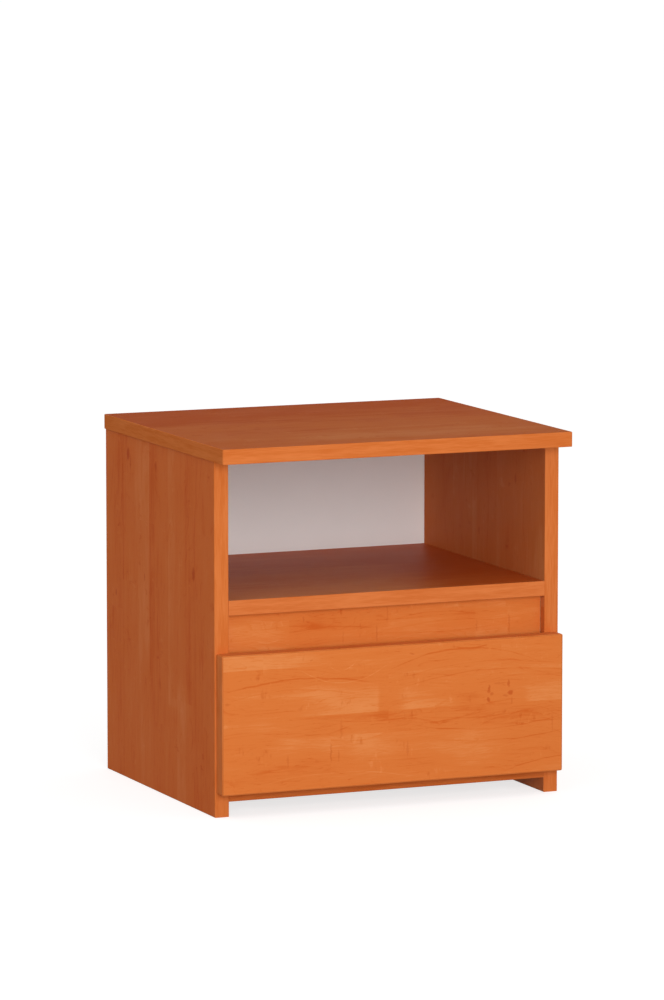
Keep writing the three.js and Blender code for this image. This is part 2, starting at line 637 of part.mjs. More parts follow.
// The drawer's own frame has y = 0 at the back of its front, and z = 0 on the floor of the room.
function buildDrawer() {
  const drawer = new THREE.Group();
  const { front, back, sides } = drawerBoards();
  drawer.add(front, back, ...sides);

  HANDS.forEach(([hand, side], index) => {
    const panel = sides[index];
    const forwards = [0, -1, 0];
    const inwards = [-side, 0, 0];
    const camHeight = FLOOR_TOP + DRAWER_CAM_SHARE * DRAWER_INNER_HEIGHT;
    const camOrigin = [panel.position.x, 0, camHeight];
    camFitting(drawer, `drawer_${hand}`, panel, front, camOrigin, forwards, inwards);
    const dowelHeight = FLOOR_TOP + DRAWER_DOWEL_SHARE * DRAWER_INNER_HEIGHT;
    const dowelOrigin = [panel.position.x, 0, dowelHeight];
    dowelFitting(drawer, `drawer_${hand}`, panel, front, dowelOrigin, forwards, inwards);
    for (const [level, share] of DRAWER_SCREW_SHARES) {
      const height = FLOOR_TOP + share * DRAWER_INNER_HEIGHT;
      const origin = [(side * DRAWER_WIDTH) / 2, back.position.y, height];
      screwFitting(drawer, `drawer_${hand}_${level}`, panel, back, origin, inwards, [0, 0, 1]);
    }

    const frame = runnerFrame(side, RUNNER_FOOT);
    frame.add(drawerRunner(`${hand}_drawer_runner`));
    frame.add(roller(`${hand}_drawer_roller`, REAR_AXLE_DEPTH, REAR_AXLE_HEIGHT));
    drawer.add(frame);
  });

  const grooveReach = DRAWER_INNER / 2 + GROOVE_DEPTH;
  const groove = boxBetween(
    [-grooveReach, -GROOVE_DEPTH, FLOOR_TOP - SHEET],
    [grooveReach, DRAWER_LENGTH + OVERRUN, FLOOR_TOP + GROOVE_PLAY],
  );
  [front, ...sides].forEach((board) => carve(board, [groove]));

  const floorWidth = 2 * (grooveReach - FLOOR_END_PLAY);
  const floorStart = FLOOR_END_PLAY - GROOVE_DEPTH;
  const floor = piece("drawer_floor", box(floorWidth, DRAWER_LENGTH - floorStart, SHEET), HARDBOARD);
  floor.position.set(0, (DRAWER_LENGTH + floorStart) / 2, FLOOR_TOP - SHEET / 2);
  drawer.add(floor);
  drawer.position.y = -FRONT_GAP;
  return drawer;
}

const chest = groupAt(0, TOP_FRONT_OVERHANG - FOOTPRINT_DEPTH / 2, 0);
chest.add(buildCarcass(), buildDrawer());
const part = new THREE.Group();
part.add(chest);

export default part;
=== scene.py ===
import json
import math

import bmesh
import bpy
from mathutils import Matrix, Vector


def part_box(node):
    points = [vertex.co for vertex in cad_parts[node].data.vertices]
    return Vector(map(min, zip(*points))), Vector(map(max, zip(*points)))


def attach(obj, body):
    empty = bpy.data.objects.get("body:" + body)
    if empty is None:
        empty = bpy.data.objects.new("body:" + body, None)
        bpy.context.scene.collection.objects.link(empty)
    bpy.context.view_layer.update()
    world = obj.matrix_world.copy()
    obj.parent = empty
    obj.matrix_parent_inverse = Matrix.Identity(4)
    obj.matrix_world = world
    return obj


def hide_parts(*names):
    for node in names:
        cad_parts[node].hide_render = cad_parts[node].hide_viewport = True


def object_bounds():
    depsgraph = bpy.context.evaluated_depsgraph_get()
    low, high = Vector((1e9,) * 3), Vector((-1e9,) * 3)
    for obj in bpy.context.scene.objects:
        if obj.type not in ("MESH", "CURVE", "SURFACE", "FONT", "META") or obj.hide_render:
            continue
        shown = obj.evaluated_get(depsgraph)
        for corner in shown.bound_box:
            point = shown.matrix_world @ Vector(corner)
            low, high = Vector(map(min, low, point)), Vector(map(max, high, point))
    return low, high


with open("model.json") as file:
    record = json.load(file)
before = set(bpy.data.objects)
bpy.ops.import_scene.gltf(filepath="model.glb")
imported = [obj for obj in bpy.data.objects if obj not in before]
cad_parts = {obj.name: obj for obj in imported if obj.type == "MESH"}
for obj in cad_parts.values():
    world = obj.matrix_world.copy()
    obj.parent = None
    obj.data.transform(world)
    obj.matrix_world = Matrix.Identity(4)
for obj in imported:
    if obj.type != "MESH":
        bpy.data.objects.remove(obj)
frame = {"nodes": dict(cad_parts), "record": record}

# Looks of a bedside chest in alder-coloured laminate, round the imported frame.
# Lengths are metres, except where a comment says mm. Angles are degrees.

CAD_BOX = [list(corner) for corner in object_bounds()]
MM = 0.001

# Axes and the ends of a box, by number
X, Y, Z = 0, 1, 2
LOW, HIGH = 0, 1

# Camera
CAMERA_PLACE = (-2.3608, -5.5420, 1.1073)
CAMERA_YAW = 23.046
CAMERA_PITCH = 7.558
CAMERA_LENS = 203.08
SENSOR_WIDTH = 36.0

# Light
FILL = 0.58
BACKGROUND = 1.0
KEY_POWER = 49.5
KEY_YAW = 10.0
KEY_PITCH = 10.5
KEY_DISTANCE = 3.2
KEY_SIZE = (1.4, 1.5)
FLOOR_GLOW = 0.73
FLOOR_SIZE = 80.0

# Colours, linear
WHITE = (1, 1, 1, 1)
FLOOR_COLOUR = (0.50, 0.50, 0.50, 1)
ALDER_DARK = (0.650, 0.129, 0.020, 1)
ALDER_MIDDLE = (0.735, 0.196, 0.042, 1)
ALDER_LIGHT = (0.795, 0.265, 0.078, 1)
ALDER_KNOT = (0.500, 0.062, 0.008, 1)
BAND_DARK = (0.650, 0.155, 0.030, 1)
BAND_LIGHT = (0.735, 0.205, 0.052, 1)
GLUE_LINE = (0.160, 0.045, 0.012, 1)
CHIP_DARK = (0.440, 0.280, 0.150, 1)
CHIP_LIGHT = (0.830, 0.640, 0.420, 1)
CHIP_GAP = (0.260, 0.150, 0.075, 1)
LACQUER_DARK = (0.855, 0.870, 0.860, 1)
LACQUER_LIGHT = (0.900, 0.915, 0.905, 1)
FIBRE_DARK = (0.430, 0.210, 0.092, 1)
FIBRE_LIGHT = (0.690, 0.395, 0.190, 1)
FIBRE_SPECK_DARK = (0.250, 0.135, 0.065, 1)
FIBRE_SPECK_LIGHT = (0.760, 0.560, 0.350, 1)
COAT_DARK = (0.770, 0.750, 0.680, 1)
COAT_LIGHT = (0.830, 0.815, 0.760, 1)
NYLON_DARK = (0.80, 0.79, 0.75, 1)
NYLON_LIGHT = (0.90, 0.90, 0.87, 1)
ZINC_DARK = (0.46, 0.47, 0.48, 1)
ZINC_LIGHT = (0.63, 0.63, 0.62, 1)
BEECH_DARK = (0.50, 0.32, 0.17, 1)
BEECH_LIGHT = (0.74, 0.56, 0.36, 1)

# A growth line's profile: how fast its tail falls off, and how much of the spacing its sharp side takes
LINE_TAIL = 11.0
LINE_SHARP_SIDE = 0.05

# A Mix node's sockets by number: the share and the two ends, and the result for colours
COLOUR_INPUTS = (0, 6, 7)
COLOUR_RESULT = 2
NUMBER_INPUTS = (0, 2, 3)


class Graph:
    """Short calls that add and link shader nodes in one tree."""

    def __init__(self, tree):
        self.tree = tree

    def feed(self, socket, value):
        if isinstance(value, bpy.types.NodeSocket):
            self.tree.links.new(value, socket)
        elif value is not None:
            socket.default_value = value

    def add(self, kind, settings=None, **inputs):
        node = self.tree.nodes.new("ShaderNode" + kind)
        for name, value in (settings or {}).items():
            setattr(node, name, value)
        for name, value in inputs.items():
            self.feed(node.inputs[name.replace("_", " ")], value)
        return node

    def math(self, operation, *values, clamp=False):
        node = self.add("Math", {"operation": operation, "use_clamp": clamp})
        for socket, value in zip(node.inputs, values):
            self.feed(socket, value)
        return node.outputs[0]

    def point(self, x, y, z):
        return self.add("CombineXYZ", X=x, Y=y, Z=z).outputs[0]

    def mix(self, share, a, b, kind="MIX"):
        """A colour between a and b, or a times b where the kind is MULTIPLY."""
        node = self.add("Mix", {"data_type": "RGBA", "blend_type": kind})
        for socket, value in zip(COLOUR_INPUTS, (share, a, b)):
            self.feed(node.inputs[socket], value)
        return node.outputs[COLOUR_RESULT]

    def blend(self, share, a, b):
        """A number between a and b."""
        node = self.add("Mix", {"data_type": "FLOAT"})
        for socket, value in zip(NUMBER_INPUTS, (share, a, b)):
            self.feed(node.inputs[socket], value)
        return node.outputs[0]

    def ramp(self, value, start, end):
        """0 at the start, 1 at the end and smooth between. The start may be the larger one."""
        node = self.add("MapRange", {"interpolation_type": "SMOOTHSTEP"}, Value=value)
        node.inputs["From Min"].default_value = start
        node.inputs["From Max"].default_value = end
        return node.outputs[0]

    def noise(self, vector, detail=2.0, rough=0.5, distortion=0.0, scale=1.0):
        node = self.add("TexNoise", Vector=vector, Scale=scale, Detail=detail, Roughness=rough,
                        Distortion=distortion)
        return node.outputs["Fac"]

    def spots(self, place, sizes, **looks):
        """Noise whose features have those sizes along X, Y and Z, mm."""
        shrunk = [self.math("MULTIPLY", p, 1 / s) for p, s in zip(place, sizes)]
        return self.noise(self.point(*shrunk), **looks)

    def stretched(self, place, size, seed):
        """A point for a texture whose features have that length along and that width across, mm."""
        along, across = place
        length, width = size
        return self.point(self.math("MULTIPLY", along, 1 / length),
                          self.math("MULTIPLY", across, 1 / width), seed)

    def grain(self, place, size, seed, **looks):
        """Noise drawn out along the grain, mm."""
        return self.noise(self.stretched(place, size, seed), **looks)

    def swayed(self, value, noise, sway):
        """The value, moved either way by up to half the sway."""
        return self.math("MULTIPLY_ADD", noise, sway, self.math("SUBTRACT", value, sway / 2))

    def line(self, field):
        """A mark just below each whole number of the field, sharp above and with a long tail below."""
        turn = self.math("FRACT", field)
        tail = self.math("POWER", turn, LINE_TAIL)
        return self.math("MULTIPLY", tail, self.ramp(turn, 1.0, 1.0 - LINE_SHARP_SIDE))

    def cells(self, place):
        """Random stretches of a line: where each one's point is, and its random colour's channels."""
        node = self.add("TexVoronoi", {"voronoi_dimensions": "1D"}, W=place, Scale=1.0, Randomness=0.9)
        dice = self.add("SeparateColor", Color=node.outputs["Color"]).outputs
        return node.outputs["W"], dice


def group(name, inputs, outputs):
    """A new node group: its tree, what it is given and what it results in."""
    tree = bpy.data.node_groups.new(name, "ShaderNodeTree")
    for kind, names in (("INPUT", inputs), ("OUTPUT", outputs)):
        for socket in names:
            shape = "NodeSocketColor" if socket == "Color" else "NodeSocketFloat"
            tree.interface.new_socket(socket, in_out=kind, socket_type=shape)
    return tree, tree.nodes.new("NodeGroupInput").outputs, tree.nodes.new("NodeGroupOutput").inputs


def use(g, tree, **inputs):
    """Adds a node group and gives its outputs."""
    node = g.tree.nodes.new("ShaderNodeGroup")
    node.node_tree = tree
    for name, value in inputs.items():
        g.feed(node.inputs[name], value)
    return node.outputs


# Printed alder. Pairs are (length along, width across) in mm, and levels are where a ramp starts and ends.
STAVE_WIDTH = 50
STAVE_LENGTH = 290
STAVE_SEED = 7.31
PIECE_SEED = 17.7
OWN_SEED = 3.3
DRIFT = (120, 13)
CLOUD = (60, 34)
BEND = (210, 60)
BEND_LINES = 9.0
LINE_SPACING = 19
RING_AREA = (80, 20)
RING_LEVELS = (0.42, 0.60)
FINE_RING_AREA = (60, 16)
FINE_RING_LEVELS = (0.40, 0.56)
FINE_RING_DENSITY = 2.4
FINE_RING_WAVER = (22, 7)
FINE_RING_SWAY = 0.9
WANDER = (30, 10)
WANDER_SWAY = 6.0
FINE = (24, 1.6)
DASH = (11, 0.9)
DASH_LEVELS = (0.60, 0.74)
CROSS = (6, 15)
CROSS_AREA = (34, 20)
FLECK_LEVELS = (0.56, 0.74)
FLECK_AREA_LEVELS = (0.56, 0.70)
GLINT_LEVELS = (0.44, 0.28)
GLINT_AREA_LEVELS = (0.52, 0.66)
FLECK_SHARE = 0.3
KNOT_SHARE = 0.70
PORES = (2.6, 0.35)
PORE_LEVELS = (0.55, 0.70)
PORE_WEAR_SHARE = 0.25
SMUDGE = (70, 50)

# How far each part of the print moves the tone, which is darkest at -TONE_REACH and lightest at TONE_REACH
TONE_REACH = 0.5
SHADE_WEIGHT = 0.13
LEAN_ACROSS_WEIGHT = 0.62
LEAN_ALONG_WEIGHT = 0.42
DRIFT_WEIGHT = 0.58
CLOUD_WEIGHT = 0.42
FINE_WEIGHT = 0.55
RING_WEIGHT = -0.34
FINE_RING_WEIGHT = -0.30
DASH_WEIGHT = -0.26
GLINT_WEIGHT = 0.20
FLECK_WEIGHT = -0.20


def alder_staves(g, along, across, seed):
    """Glued staves: a number of each piece's own, its random shade, and its slow change across and along."""
    across_staves = g.math("MULTIPLY_ADD", across, 1 / STAVE_WIDTH, g.math("MULTIPLY", seed, STAVE_SEED))
    stave, _ = g.cells(across_staves)
    along_pieces = g.math("MULTIPLY_ADD", along, 1 / STAVE_LENGTH, g.math("MULTIPLY", stave, PIECE_SEED))
    piece, dice = g.cells(along_pieces)
    own = g.math("ADD", piece, g.math("MULTIPLY", stave, OWN_SEED))
    off_across, off_along = g.math("SUBTRACT", across_staves, stave), g.math("SUBTRACT", along_pieces, piece)
    lean_across = g.math("MULTIPLY", off_across, g.math("SUBTRACT", dice[1], 0.5))
    lean_along = g.math("MULTIPLY", off_along, g.math("SUBTRACT", dice[2], 0.5))
    return own, dice[0], lean_across, lean_along


def alder_rings(g, place, seed, own):
    """Growth lines that come and go: (wide apart, close together)."""
    bend = g.grain(place, BEND, own, detail=1.5)
    field = g.math("MULTIPLY_ADD", bend, BEND_LINES, g.math("MULTIPLY", place[1], 1 / LINE_SPACING))
    ring = g.math("MULTIPLY", g.line(field), g.ramp(g.grain(place, RING_AREA, own), *RING_LEVELS))
    waver = g.math("MULTIPLY", g.grain(place, FINE_RING_WAVER, seed), FINE_RING_SWAY)
    fine_line = g.line(g.math("MULTIPLY_ADD", field, FINE_RING_DENSITY, waver))
    fine_area = g.ramp(g.grain(place, FINE_RING_AREA, seed), *FINE_RING_LEVELS)
    return ring, g.math("MULTIPLY", fine_line, fine_area)


def alder_streaks(g, place, seed, own):
    """Streaks on wavy lines: (fine ones everywhere, scattered dashes)."""
    along, across = place
    wavy = g.math("MULTIPLY_ADD", g.grain(place, WANDER, seed), WANDER_SWAY, across)
    fine = g.grain((along, wavy), FINE, own, detail=3.0, rough=0.6)
    return fine, g.ramp(g.grain((along, wavy), DASH, own), *DASH_LEVELS)


def alder_flecks(g, place, seed, own):
    """Marks across the grain that come in patches: (dark ones, light ones)."""
    cross = g.grain(place, CROSS, own)
    area = g.grain(place, CROSS_AREA, seed, detail=1.0)
    fleck = g.math("MULTIPLY", g.ramp(cross, *FLECK_LEVELS), g.ramp(area, *FLECK_AREA_LEVELS))
    glint = g.math("MULTIPLY", g.ramp(cross, *GLINT_LEVELS), g.ramp(area, *GLINT_AREA_LEVELS))
    return fleck, glint


def alder_decor():
    """Printed alder: glued staves, drifting tone, growth lines, streaks and flecks. Its places are in mm."""
    tree, given, result = group("alder_decor", ("Along", "Across", "Seed", "Lift", "Knot", "Joints"),
                                ("Color", "Height", "Wear"))
    g = Graph(tree)
    along, across, seed = given["Along"], given["Across"], given["Seed"]
    place = along, across
    own, shade, lean_across, lean_along = alder_staves(g, along, across, seed)
    ring, fine_ring = alder_rings(g, place, seed, own)
    fine, dash = alder_streaks(g, place, seed, own)
    fleck, glint = alder_flecks(g, place, seed, own)

    tone = given["Lift"]
    staves = ((shade, SHADE_WEIGHT), (lean_across, LEAN_ACROSS_WEIGHT), (lean_along, LEAN_ALONG_WEIGHT))
    for part, weight in staves:
        tone = g.math("MULTIPLY_ADD", g.math("MULTIPLY", part, given["Joints"]), weight, tone)
    drift = g.grain(place, DRIFT, own)
    cloud = g.grain(place, CLOUD, seed, detail=1.0)
    for part, weight in ((drift, DRIFT_WEIGHT), (cloud, CLOUD_WEIGHT), (fine, FINE_WEIGHT)):
        tone = g.math("MULTIPLY_ADD", g.math("SUBTRACT", part, 0.5), weight, tone)
    marks = ((ring, RING_WEIGHT), (fine_ring, FINE_RING_WEIGHT), (dash, DASH_WEIGHT), (glint, GLINT_WEIGHT),
             (fleck, FLECK_WEIGHT))
    for part, weight in marks:
        tone = g.math("MULTIPLY_ADD", part, weight, tone)
    body = g.mix(g.ramp(tone, -TONE_REACH, 0.0), ALDER_DARK, ALDER_MIDDLE)
    body = g.mix(g.ramp(tone, 0.0, TONE_REACH), body, ALDER_LIGHT)
    spot = g.math("MAXIMUM", given["Knot"], g.math("MULTIPLY", fleck, FLECK_SHARE))
    g.feed(result["Color"], g.mix(g.math("MULTIPLY", spot, KNOT_SHARE), body, ALDER_KNOT))

    pores = g.grain(place, PORES, seed)
    g.feed(result["Height"], g.math("MULTIPLY_ADD", g.ramp(pores, *PORE_LEVELS), -1.0, fine))
    smudge = g.math("MULTIPLY", g.grain(place, SMUDGE, seed, detail=3.0), 1 - PORE_WEAR_SHARE)
    g.feed(result["Wear"], g.math("MULTIPLY_ADD", pores, PORE_WEAR_SHARE, smudge))
    return tree


# Edge band, mm: soft shades and fine streaks along it
BAND_SHADE = (70, 6)
BAND_STREAK = (18, 0.8)
BAND_LEVELS = (0.36, 0.64)


def band_decor():
    """Plain edge band: faint streaks along it. Its places are in mm."""
    tree, given, result = group("band_decor", ("Along", "Across", "Seed"), ("Color", "Height", "Wear"))
    g = Graph(tree)
    place = given["Along"], given["Across"]
    soft = g.grain(place, BAND_SHADE, given["Seed"])
    fine = g.grain(place, BAND_STREAK, given["Seed"], detail=3.0)
    tone = g.math("MULTIPLY_ADD", fine, 0.5, g.math("MULTIPLY", soft, 0.5))
    g.feed(result["Color"], g.mix(g.ramp(tone, *BAND_LEVELS), BAND_DARK, BAND_LIGHT))
    g.feed(result["Height"], fine)
    g.feed(result["Wear"], soft)
    return tree


# Particle board's cut edge, mm
CHIP = (2.6, 1.1)
DUST_PER_CHIP = 2.5
CHIP_SHADE = 0.6
DUST_SHADE = 0.5
GAP_LEVELS = (0.50, 0.85)
GAP_SHARE = 0.7
GAP_DEPTH = -1.5


def chip_decor():
    """Cut edge of particle board: pressed chips with gaps between them. Its places are in mm."""
    tree, given, result = group("chip_decor", ("Along", "Across", "Seed"), ("Color", "Height", "Wear"))
    g = Graph(tree)
    spot = g.stretched((given["Along"], given["Across"]), CHIP, given["Seed"])
    chips = g.add("TexVoronoi", Vector=spot, Scale=1.0)
    away = chips.outputs["Distance"]
    dice = g.add("SeparateColor", Color=chips.outputs["Color"]).outputs
    dust = g.noise(spot, detail=4.0, rough=0.7, scale=DUST_PER_CHIP)
    tone = g.math("MULTIPLY_ADD", dice[0], CHIP_SHADE, g.math("MULTIPLY", dust, DUST_SHADE), clamp=True)
    colour = g.mix(tone, CHIP_DARK, CHIP_LIGHT)
    colour = g.mix(g.math("MULTIPLY", g.ramp(away, *GAP_LEVELS), GAP_SHARE), colour, CHIP_GAP)
    g.feed(result["Color"], colour)
    g.feed(result["Height"], g.math("ADD", dice[1], g.math("MULTIPLY", away, GAP_DEPTH)))
    g.feed(result["Wear"], dust)
    return tree


# Marks drawn on one board, mm
EDGE_BLUR = 0.6
ARC_WAVER = (30, 25)
ARC_SWAY = 3.0
ARC_FADE = (1.1, 0.6)
KNOT_CURL = (5, 4)
KNOT_SWAY = 4.0
TWIST_SEED = 9.0
KNOT_RIM = 2.6


def drawn_patches(g, place, patches, lift):
    """Adds staves, and stretches of painted light and shade, that are lighter or darker than the print round
    them.
    """
    along, across = place
    for start, end, fades, edge, far, strength in patches:
        fade_in, fade_out = fades
        near = g.math("MULTIPLY", g.ramp(along, start, start + fade_in), g.ramp(along, end, end - fade_out))
        blur = math.copysign(EDGE_BLUR, far - edge)
        beyond = g.math("MULTIPLY", g.ramp(across, edge - blur, edge + blur), g.ramp(across, far, edge))
        lift = g.math("MULTIPLY_ADD", g.math("MULTIPLY", near, beyond), strength, lift)
    return lift


def drawn_arcs(g, place, arcs, lift):
    """Adds bowed growth lines, each a piece of a parabola; a wide one is a broad band of painted light."""
    along, across = place
    wavy = g.swayed(across, g.grain(place, ARC_WAVER, 0.0), ARC_SWAY)
    for peak, height, reach, drop, width, strength in arcs:
        run = g.math("MULTIPLY", g.math("SUBTRACT", along, peak), 1 / reach)
        bow = g.math("MULTIPLY_ADD", g.math("MULTIPLY", run, run), -drop, height)
        away = g.math("ABSOLUTE", g.math("SUBTRACT", wavy, bow))
        line = g.math("MULTIPLY", g.ramp(away, width, 0.0), g.ramp(g.math("ABSOLUTE", run), *ARC_FADE))
        lift = g.math("MULTIPLY_ADD", line, strength, lift)
    return lift


def drawn_knots(g, place, knots):
    """Dark ovals with ragged rims, 0 to 1."""
    along, across = place
    curl = g.swayed(along, g.grain(place, KNOT_CURL, 0.0), KNOT_SWAY)
    twist = g.swayed(across, g.grain(place, KNOT_CURL, TWIST_SEED), KNOT_SWAY)
    dark = 0.0
    for x, z, half_length, half_width, strength in knots:
        run = g.math("MULTIPLY", g.math("SUBTRACT", curl, x), 1 / half_length)
        rise = g.math("MULTIPLY", g.math("SUBTRACT", twist, z), 1 / half_width)
        spot = g.math("ADD", g.math("MULTIPLY", run, run), g.math("MULTIPLY", rise, rise))
        dark = g.math("MAXIMUM", dark, g.math("MULTIPLY", g.ramp(spot, KNOT_RIM, 0.0), strength))
    return dark


def empty_material(name):
    made = bpy.data.materials.new(name)
    made.use_nodes = True
    made.node_tree.nodes.clear()
    return made, Graph(made.node_tree)


def material(name):
    """A material, its graph and the inputs of its shader."""
    made, g = empty_material(name)
    shader = g.add("BsdfPrincipled")
    g.feed(g.add("OutputMaterial").inputs["Surface"], shader.outputs[0])
    return made, g, shader.inputs


def emboss(g, shader, height, depth, strength):
    """A bump of that depth in mm."""
    g.feed(shader["Normal"], g.add("Bump", Height=height, Strength=strength, Distance=depth * MM).outputs[0])


def roughen(g, shader, noise, least, spread):
    """A roughness from the least value up, by the spread where the noise is 1."""
    g.feed(shader["Roughness"], g.math("MULTIPLY_ADD", noise, spread, least))


def object_axes(g):
    """Object coordinates in mm and the normal, each as three sockets."""
    source = g.add("TexCoord").outputs
    place = g.add("SeparateXYZ", Vector=source["Object"]).outputs
    normal = g.add("SeparateXYZ", Vector=source["Normal"]).outputs
    return [g.math("MULTIPLY", p, 1 / MM) for p in place], normal


# Laminated board, mm. A face counts as wide, or as a grain end, where that much of its normal is on the axis.
BAND_THICKNESS = 1.0
SEAM = 0.12
SEAM_SHARE = 0.6
WIDE_FACE = 0.9
GRAIN_END = 0.7
OTHER_SIDE_SEED = 3.7
CHIP_ROUGHNESS = 0.85
FACE_ROUGHNESS = 0.40
BAND_ROUGHNESS = 0.42
WEAR_ROUGHNESS = 0.14
BOARD_RELIEF = 0.03
BOARD_RELIEF_STRENGTH = 0.6
DRAWN_JOINTS = 0.30


def face_decor(g, node, place, other_side, seed):
    """The print on a board's wide faces, with the marks that are drawn for this board, some of which are
    painted light and shade.
    """
    marks = {"Lift": 0.0, "Knot": 0.0, "Joints": 1.0}
    if node in FIGURES_AND_PAINTED_LIGHT:
        patches, arcs, knots = FIGURES_AND_PAINTED_LIGHT[node]
        lift = drawn_arcs(g, place, arcs, drawn_patches(g, place, patches, 0.0))
        marks = {"Lift": lift, "Knot": drawn_knots(g, place, knots), "Joints": DRAWN_JOINTS}
    face_seed = g.math("MULTIPLY_ADD", other_side, OTHER_SIDE_SEED, seed)
    return use(g, DECOR, Along=place[0], Across=place[1], Seed=face_seed, **marks)


def surface(g, decor, roughness, painted_shade=None):
    """A decor as (colour, height, wear, roughness), multiplied by the painted shade if there is one: a darker
    colour that stands in for shade.
    """
    colour = g.mix(1.0, decor["Color"], painted_shade, "MULTIPLY") if painted_shade else decor["Color"]
    return colour, decor["Height"], decor["Wear"], roughness


def overlaid(g, share, under, upper):
    """The upper surface where the share is 1, and the one under it elsewhere."""
    numbers = [g.blend(share, a, b) for a, b in zip(under[1:], upper[1:])]
    return g.mix(share, under[0], upper[0]), *numbers


def with_bands(g, board, band, depth):
    """The board's surface with its bands, and with the glue line between."""
    colour, *numbers = overlaid(g, g.math("LESS_THAN", depth, BAND_THICKNESS), board, band)
    seam = g.math("COMPARE", depth, BAND_THICKNESS, SEAM)
    return g.mix(g.math("MULTIPLY", seam, SEAM_SHARE), colour, GLUE_LINE), *numbers


def board_material(node, grain, thick, banded, seed, gloss, painted_shade=None, band_painted_shade=None):
    """Laminate on the two wide faces, a band on the banded edges and bare chips on the others.

    The wide faces are multiplied by the painted shade and the bands by the band's painted shade, where there
    is one: colour darkened to stand in for the shade that falls on them.
    """
    made, g, shader = material(f"laminate_{node}")
    place, normal = object_axes(g)
    cross = ({X, Y, Z} - {grain, thick}).pop()
    other_side = g.math("GREATER_THAN", normal[thick], 0.0)
    face = face_decor(g, node, (place[grain], place[cross]), other_side, seed)
    wide = g.math("GREATER_THAN", g.math("ABSOLUTE", normal[thick]), WIDE_FACE)

    on_end = g.math("GREATER_THAN", g.math("ABSOLUTE", normal[grain]), GRAIN_END)
    edge = {"Along": g.blend(on_end, place[grain], place[cross]), "Across": place[thick], "Seed": seed}
    chips = surface(g, use(g, CHIPS, **edge), CHIP_ROUGHNESS)
    look = overlaid(g, wide, chips, surface(g, face, FACE_ROUGHNESS, painted_shade))
    if banded:
        band = surface(g, use(g, BAND, **edge), BAND_ROUGHNESS, band_painted_shade)
        look = with_bands(g, look, band, edge_depth(g, place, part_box(node), banded))
    colour, height, wear, roughness = look
    g.feed(shader["Base Color"], colour)
    roughen(g, shader, wear, roughness, WEAR_ROUGHNESS)
    emboss(g, shader, height, BOARD_RELIEF, BOARD_RELIEF_STRENGTH)
    shader["Specular IOR Level"].default_value = gloss
    return made


def edge_depth(g, place, box, banded):
    """How deep a point lies under the nearest banded edge, mm."""
    depth = None
    for axis, end in banded:
        away = g.math("ABSOLUTE", g.math("SUBTRACT", place[axis], box[end][axis] / MM))
        depth = away if depth is None else g.math("MINIMUM", depth, away)
    return depth


# Hardboard, mm
HAZE = (40, 40, 40)
FIBRE = (0.9, 0.9, 0.9)
SPECK = (2.2, 2.2, 2.2)
DARK_SPECK_LEVELS = (0.58, 0.70)
DARK_SPECK_SHARE = 0.4
LIGHT_SPECK_LEVELS = (0.40, 0.28)
LIGHT_SPECK_SHARE = 0.5
FIBRE_SHARE = 0.6
LACQUERED_FACE = 0.7
LACQUER_ROUGHNESS = 0.42
LACQUER_ROUGHNESS_SPREAD = 0.12
FIBRE_ROUGHNESS = 0.82
FIBRE_RELIEF = 0.04
HARDBOARD_GLOSS = 0.15


def hardboard_material(name, axis, sign):
    """Thin fibreboard: lacquered white on the side that looks that way, bare and brown elsewhere."""
    made, g, shader = material(name)
    place, normal = object_axes(g)
    white = g.math("GREATER_THAN", g.math("MULTIPLY", normal[axis], sign), LACQUERED_FACE)
    haze = g.spots(place, HAZE, detail=4.0)
    fibre = g.spots(place, FIBRE, detail=4.0, rough=0.7, distortion=0.6)
    speck = g.spots(place, SPECK, detail=3.0, rough=0.8, distortion=1.2)
    paint = g.mix(haze, LACQUER_DARK, LACQUER_LIGHT)
    tone = g.math("MULTIPLY_ADD", fibre, FIBRE_SHARE, g.math("MULTIPLY", haze, 1 - FIBRE_SHARE))
    bare = g.mix(tone, FIBRE_DARK, FIBRE_LIGHT)
    dark = g.math("MULTIPLY", g.ramp(speck, *DARK_SPECK_LEVELS), DARK_SPECK_SHARE)
    bare = g.mix(dark, bare, FIBRE_SPECK_DARK)
    light = g.math("MULTIPLY", g.ramp(speck, *LIGHT_SPECK_LEVELS), LIGHT_SPECK_SHARE)
    bare = g.mix(light, bare, FIBRE_SPECK_LIGHT)
    g.feed(shader["Base Color"], g.mix(white, bare, paint))
    lacquer = g.math("MULTIPLY_ADD", haze, LACQUER_ROUGHNESS_SPREAD, LACQUER_ROUGHNESS)
    g.feed(shader["Roughness"], g.blend(white, FIBRE_ROUGHNESS, lacquer))
    emboss(g, shader, fibre, FIBRE_RELIEF, strength=0.5)
    shader["Specular IOR Level"].default_value = HARDBOARD_GLOSS
    return made


# Cloud and grain sizes of the small parts' materials, mm along X, Y and Z
COAT_PEEL = (0.8, 0.8, 0.8)
COAT_CLOUD = (30, 30, 30)
NYLON_CLOUD = (4, 4, 4)
NYLON_SCATTER = (2.0 * MM, 2.0 * MM, 1.8 * MM)
ZINC_GRAIN = (0.5, 0.5, 0.5)
ZINC_CLOUD = (5, 5, 5)
BEECH_FIBRE = (6, 0.5, 0.5)


def coated_steel():
    """Epoxy powder coat with its orange peel."""
    made, g, shader = material("coated_steel")
    place, _ = object_axes(g)
    peel = g.spots(place, COAT_PEEL)
    cloud = g.spots(place, COAT_CLOUD, detail=3.0)
    g.feed(shader["Base Color"], g.mix(cloud, COAT_DARK, COAT_LIGHT))
    roughen(g, shader, cloud, least=0.30, spread=0.15)
    emboss(g, shader, peel, depth=0.03, strength=0.5)
    shader["Specular IOR Level"].default_value = 0.5
    return made


